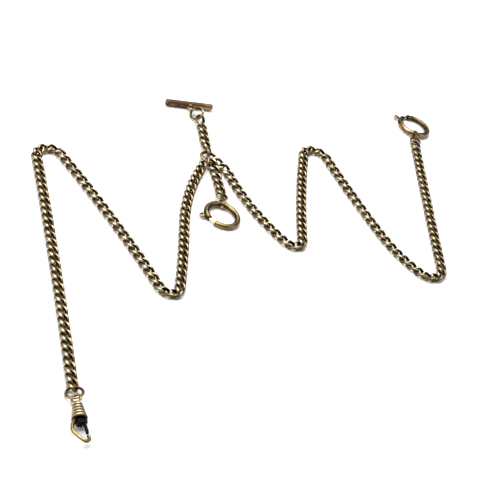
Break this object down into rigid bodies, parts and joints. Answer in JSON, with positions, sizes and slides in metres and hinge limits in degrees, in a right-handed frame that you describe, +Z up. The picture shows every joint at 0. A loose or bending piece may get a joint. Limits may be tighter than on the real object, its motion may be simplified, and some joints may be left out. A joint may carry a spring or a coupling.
{
  "type": "pocket watch chain",
  "caption": "Curb-link pocket watch chain with a T bar, two sprung bolt rings and a swivel snap hook, laid out flat in zigzag folds.",
  "frame": {"origin": "centre of the bounding box in plan, on the surface that the chain lies on", "axes": "+Z up from that surface; +X along the row of folds, from the snap hook to the watch ring; +Y from the snap hook end towards the T bar"},
  "size_m": [0.2168, 0.2026, 0.0055],
  "materials": {
    "chain_bronze": "antique bronze plate, rubbed bright on the high sides, near black in the recesses",
    "polished_bronze": "antique bronze plate, polished with darker streaks",
    "bar_brown": "brown antique bronze, slightly hammered",
    "spring_steel": "bright spring steel",
    "black_block": "black oxide, satin"
  },
  "bodies": {
    "junction": {"junction_ring": "chain_bronze"},
    "t_link_1": {"t_link_1": "chain_bronze"},
    "t_link_2": {"t_link_2": "chain_bronze"},
    "t_run_1": {"t_run_1": "chain_bronze"},
    "t_link_3": {"t_link_3": "chain_bronze"},
    "t_bar_jump_ring": {"t_bar_jump_ring": "chain_bronze"},
    "t_bar": {"t_bar": "bar_brown", "t_bar_eye": "bar_brown"},
    "fob_link_1": {"fob_link_1": "chain_bronze"},
    "fob_link_2": {"fob_link_2": "chain_bronze"},
    "fob_link_3": {"fob_link_3": "chain_bronze"},
    "fob_link_4": {"fob_link_4": "chain_bronze"},
    "fob_link_5": {"fob_link_5": "chain_bronze"},
    "fob_ring_jump_ring": {"fob_ring_jump_ring": "chain_bronze"},
    "fob_ring": {"fob_ring_case": "polished_bronze", "fob_ring_spring": "spring_steel", "fob_ring_tail": "polished_bronze"},
    "fob_ring_bolt": {"fob_ring_bolt": "polished_bronze", "fob_ring_thumb_tab": "polished_bronze"},
    "right_link_1": {"right_link_1": "chain_bronze"},
    "right_link_2": {"right_link_2": "chain_bronze"},
    "right_run_1": {"right_run_1": "chain_bronze"},
    "right_link_3": {"right_link_3": "chain_bronze"},
    "right_link_4": {"right_link_4": "chain_bronze"},
    "right_run_2": {"right_run_2": "chain_bronze"},
    "right_link_5": {"right_link_5": "chain_bronze"},
    "right_link_6": {"right_link_6": "chain_bronze"},
    "right_link_7": {"right_link_7": "chain_bronze"},
    "right_run_3": {"right_run_3": "chain_bronze"},
    "right_link_8": {"right_link_8": "chain_bronze"},
    "right_link_9": {"right_link_9": "chain_bronze"},
    "right_link_10": {"right_link_10": "chain_bronze"},
    "right_run_4": {"right_run_4": "chain_bronze"},
    "watch_ring_jump_ring": {"watch_ring_jump_ring": "chain_bronze"},
    "watch_ring": {"watch_ring_case": "polished_bronze", "watch_ring_spring": "spring_steel", "watch_ring_tail": "polished_bronze"},
    "watch_ring_bolt": {"watch_ring_bolt": "polished_bronze", "watch_ring_thumb_tab": "polished_bronze"},
    "left_link_1": {"left_link_1": "chain_bronze"},
    "left_link_2": {"left_link_2": "chain_bronze"},
    "left_run_1": {"left_run_1": "chain_bronze"},
    "left_link_3": {"left_link_3": "chain_bronze"},
    "left_link_4": {"left_link_4": "chain_bronze"},
    "left_run_2": {"left_run_2": "chain_bronze"},
    "left_link_5": {"left_link_5": "chain_bronze"},
    "left_link_6": {"left_link_6": "chain_bronze"},
    "left_link_7": {"left_link_7": "chain_bronze"},
    "left_run_3": {"left_run_3": "chain_bronze"},
    "hook_jump_ring": {"hook_jump_ring": "chain_bronze"},
    "hook_eye": {"hook_eye": "polished_bronze"},
    "hook_swivel": {"gate_pin": "polished_bronze", "gate_spring": "spring_steel", "hook_block": "black_block", "hook_sleeve": "polished_bronze", "hook_wire": "polished_bronze"},
    "hook_gate": {"hook_gate": "black_block"}
  },
  "joints": [
    {"name": "t_link_1_turn", "type": "hinge", "parent": "junction", "child": "t_link_1", "pos_m": [-0.01132, 0.05821, 0.00211], "axis": [0.9848, -0.1736, 0], "range_deg": [-30, 50]},
    {"name": "t_link_2_turn", "type": "hinge", "parent": "t_link_1", "child": "t_link_2", "pos_m": [-0.01076, 0.06141, 0.00177], "axis": [0, 0, 1], "range_deg": [-20, 12]},
    {"name": "t_run_1_turn", "type": "hinge", "parent": "t_link_2", "child": "t_run_1", "pos_m": [-0.01008, 0.06525, 0.00127], "axis": [0, 0, 1], "range_deg": [-18, 18]},
    {"name": "t_link_3_turn", "type": "hinge", "parent": "t_run_1", "child": "t_link_3", "pos_m": [-0.00825, 0.07681, 0.00127], "axis": [0.9994, 0.0349, 0], "range_deg": [-40, 25]},
    {"name": "t_bar_jump_ring_turn", "type": "hinge", "parent": "t_link_3", "child": "t_bar_jump_ring", "pos_m": [-0.00862, 0.08142, 0.0027], "axis": [0.9511, 0.309, 0], "range_deg": [-12, 30]},
    {"name": "t_bar_turn", "type": "hinge", "parent": "t_bar_jump_ring", "child": "t_bar", "pos_m": [-0.0099, 0.08536, 0.0027], "axis": [0.5318, 0.1728, -0.829], "range_deg": [-8, 60]},
    {"name": "fob_link_1_turn", "type": "hinge", "parent": "junction", "child": "fob_link_1", "pos_m": [-0.01154, 0.05208, 0.00211], "axis": [-0.9945, -0.1045, 0], "range_deg": [-20, 20]},
    {"name": "fob_link_2_turn", "type": "hinge", "parent": "fob_link_1", "child": "fob_link_2", "pos_m": [-0.0112, 0.04884, 0.00177], "axis": [0, 0, 1], "range_deg": [-4, 8]},
    {"name": "fob_link_3_turn", "type": "hinge", "parent": "fob_link_2", "child": "fob_link_3", "pos_m": [-0.01147, 0.04495, 0.00127], "axis": [-0.9957, 0.0929, 0], "range_deg": [-18, 18]},
    {"name": "fob_link_4_turn", "type": "hinge", "parent": "fob_link_3", "child": "fob_link_4", "pos_m": [-0.01183, 0.04107, 0.00127], "axis": [0, 0, 1], "range_deg": [-4, 8]},
    {"name": "fob_link_5_turn", "type": "hinge", "parent": "fob_link_4", "child": "fob_link_5", "pos_m": [-0.01229, 0.0372, 0.00127], "axis": [-0.9903, 0.1392, 0], "range_deg": [-45, 45]},
    {"name": "fob_ring_jump_ring_turn", "type": "hinge", "parent": "fob_link_5", "child": "fob_ring_jump_ring", "pos_m": [-0.01303, 0.03262, 0.00159], "axis": [-0.9613, 0.2756, 0], "range_deg": [-12, 18]},
    {"name": "fob_ring_turn", "type": "hinge", "parent": "fob_ring_jump_ring", "child": "fob_ring", "pos_m": [-0.01384, 0.0298, 0.00193], "axis": [-0.848, 0.1847, -0.4968], "range_deg": [-30, 45]},
    {"name": "fob_ring_bolt_slide", "type": "hinge", "parent": "fob_ring", "child": "fob_ring_bolt", "pos_m": [-0.01648, 0.02058, 0.00146], "axis": [0.0151, 0.0526, -0.9985], "range_deg": [0, 32], "stiffness_Nm_per_rad": 0.02, "springref_deg": -11.46, "deforming": ["fob_ring_spring"]},
    {"name": "right_link_1_turn", "type": "hinge", "parent": "junction", "child": "right_link_1", "pos_m": [-0.00963, 0.053, 0.00211], "axis": [-0.6947, -0.7193, 0], "range_deg": [-12, 22]},
    {"name": "right_link_2_turn", "type": "hinge", "parent": "right_link_1", "child": "right_link_2", "pos_m": [-0.0073, 0.05075, 0.00177], "axis": [0, 0, 1], "range_deg": [0, 16]},
    {"name": "right_run_1_turn", "type": "hinge", "parent": "right_link_2", "child": "right_run_1", "pos_m": [-0.00535, 0.04737, 0.00127], "axis": [0, 0, 1], "range_deg": [0, 24]},
    {"name": "right_link_3_turn", "type": "hinge", "parent": "right_run_1", "child": "right_link_3", "pos_m": [0.00779, 0.00693, 0.00127], "axis": [0, 0, -1], "range_deg": [-8, 42]},
    {"name": "right_link_4_turn", "type": "hinge", "parent": "right_link_3", "child": "right_link_4", "pos_m": [0.0115, 0.00572, 0.00127], "axis": [0, 0, -1], "range_deg": [-2, 54]},
    {"name": "right_run_2_turn", "type": "hinge", "parent": "right_link_4", "child": "right_run_2", "pos_m": [0.01466, 0.00801, 0.00127], "axis": [0, 0, -1], "range_deg": [-8, 37]},
    {"name": "right_link_5_turn", "type": "hinge", "parent": "right_run_2", "child": "right_link_5", "pos_m": [0.03599, 0.06662, 0.00127], "axis": [0, 0, 1], "range_deg": [-8, 34]},
    {"name": "right_link_6_turn", "type": "hinge", "parent": "right_link_5", "child": "right_link_6", "pos_m": [0.03926, 0.06874, 0.00127], "axis": [0, 0, 1], "range_deg": [-8, 41]},
    {"name": "right_link_7_turn", "type": "hinge", "parent": "right_link_6", "child": "right_link_7", "pos_m": [0.04313, 0.06824, 0.00127], "axis": [0, 0, 1], "range_deg": [-8, 41]},
    {"name": "right_run_3_turn", "type": "hinge", "parent": "right_link_7", "child": "right_run_3", "pos_m": [0.04574, 0.06534, 0.00127], "axis": [0, 0, 1], "range_deg": [-8, 34]},
    {"name": "right_link_8_turn", "type": "hinge", "parent": "right_run_3", "child": "right_link_8", "pos_m": [0.06512, -0.00535, 0.00127], "axis": [0, 0, -1], "range_deg": [-8, 42]},
    {"name": "right_link_9_turn", "type": "hinge", "parent": "right_link_8", "child": "right_link_9", "pos_m": [0.06893, -0.00616, 0.00127], "axis": [0, 0, -1], "range_deg": [-8, 32]},
    {"name": "right_link_10_turn", "type": "hinge", "parent": "right_link_9", "child": "right_link_10", "pos_m": [0.0726, -0.00483, 0.00127], "axis": [0, 0, -1], "range_deg": [-8, 32]},
    {"name": "right_run_4_turn", "type": "hinge", "parent": "right_link_10", "child": "right_run_4", "pos_m": [0.075, -0.00176, 0.00127], "axis": [0, 0, -1], "range_deg": [-8, 24]},
    {"name": "watch_ring_jump_ring_turn", "type": "hinge", "parent": "right_run_4", "child": "watch_ring_jump_ring", "pos_m": [0.09673, 0.08201, 0.00159], "axis": [0.9426, -0.3338, 0], "range_deg": [-18, 18]},
    {"name": "watch_ring_turn", "type": "hinge", "parent": "watch_ring_jump_ring", "child": "watch_ring", "pos_m": [0.09771, 0.08478, 0.00193], "axis": [0.8351, -0.2361, -0.4968], "range_deg": [-30, 45]},
    {"name": "watch_ring_bolt_slide", "type": "hinge", "parent": "watch_ring", "child": "watch_ring_bolt", "pos_m": [0.1009, 0.09381, 0.00146], "axis": [0.0183, 0.0516, 0.9985], "range_deg": [0, 32], "stiffness_Nm_per_rad": 0.02, "springref_deg": -11.46, "deforming": ["watch_ring_spring"]},
    {"name": "left_link_1_turn", "type": "hinge", "parent": "junction", "child": "left_link_1", "pos_m": [-0.01386, 0.05278, 0.00211], "axis": [-0.766, 0.6428, 0], "range_deg": [-20, 40]},
    {"name": "left_link_2_turn", "type": "hinge", "parent": "left_link_1", "child": "left_link_2", "pos_m": [-0.01595, 0.05029, 0.00177], "axis": [0, 0, -1], "range_deg": [-4, 18]},
    {"name": "left_run_1_turn", "type": "hinge", "parent": "left_link_2", "child": "left_run_1", "pos_m": [-0.01813, 0.04706, 0.00127], "axis": [0, 0, -1], "range_deg": [-4, 18]},
    {"name": "left_link_3_turn", "type": "hinge", "parent": "left_run_1", "child": "left_link_3", "pos_m": [-0.04788, -0.02471, 0.00127], "axis": [0, 0, 1], "range_deg": [-8, 41]},
    {"name": "left_link_4_turn", "type": "hinge", "parent": "left_link_3", "child": "left_link_4", "pos_m": [-0.05133, -0.02654, 0.00127], "axis": [0, 0, 1], "range_deg": [0, 56]},
    {"name": "left_run_2_turn", "type": "hinge", "parent": "left_link_4", "child": "left_run_2", "pos_m": [-0.05477, -0.02471, 0.00127], "axis": [0, 0, 1], "range_deg": [-4, 49]},
    {"name": "left_link_5_turn", "type": "hinge", "parent": "left_run_2", "child": "left_link_5", "pos_m": [-0.07691, 0.05003, 0.00127], "axis": [0, 0, -1], "range_deg": [-2, 48]},
    {"name": "left_link_6_turn", "type": "hinge", "parent": "left_link_5", "child": "left_link_6", "pos_m": [-0.08052, 0.05149, 0.00127], "axis": [0, 0, -1], "range_deg": [-3, 36]},
    {"name": "left_link_7_turn", "type": "hinge", "parent": "left_link_6", "child": "left_link_7", "pos_m": [-0.0843, 0.05051, 0.00127], "axis": [0, 0, -1], "range_deg": [-3, 36]},
    {"name": "left_run_3_turn", "type": "hinge", "parent": "left_link_7", "child": "left_run_3", "pos_m": [-0.08675, 0.04748, 0.00127], "axis": [0, 0, -1], "range_deg": [-3, 33]},
    {"name": "hook_jump_ring_turn", "type": "hinge", "parent": "left_run_3", "child": "hook_jump_ring", "pos_m": [-0.10205, -0.07711, 0.00186], "axis": [-0.9934, 0.1149, 0], "range_deg": [-10, 8]},
    {"name": "hook_eye_turn", "type": "hinge", "parent": "hook_jump_ring", "child": "hook_eye", "pos_m": [-0.10254, -0.08135, 0.00271], "axis": [-0.9412, 0.0414, -0.3354], "range_deg": [-60, 60]},
    {"name": "hook_swivel_turn", "type": "hinge", "parent": "hook_eye", "child": "hook_swivel", "pos_m": [-0.10285, -0.08408, 0.00276], "axis": [-0.1149, -0.9934, 0], "continuous": true},
    {"name": "hook_gate_swing", "type": "hinge", "parent": "hook_swivel", "child": "hook_gate", "pos_m": [-0.10235, -0.09274, 0.00276], "axis": [0, 0, -1], "range_deg": [0, 32], "stiffness_Nm_per_rad": 0.003, "springref_deg": -11.46, "deforming": ["gate_spring"]}
  ]
}
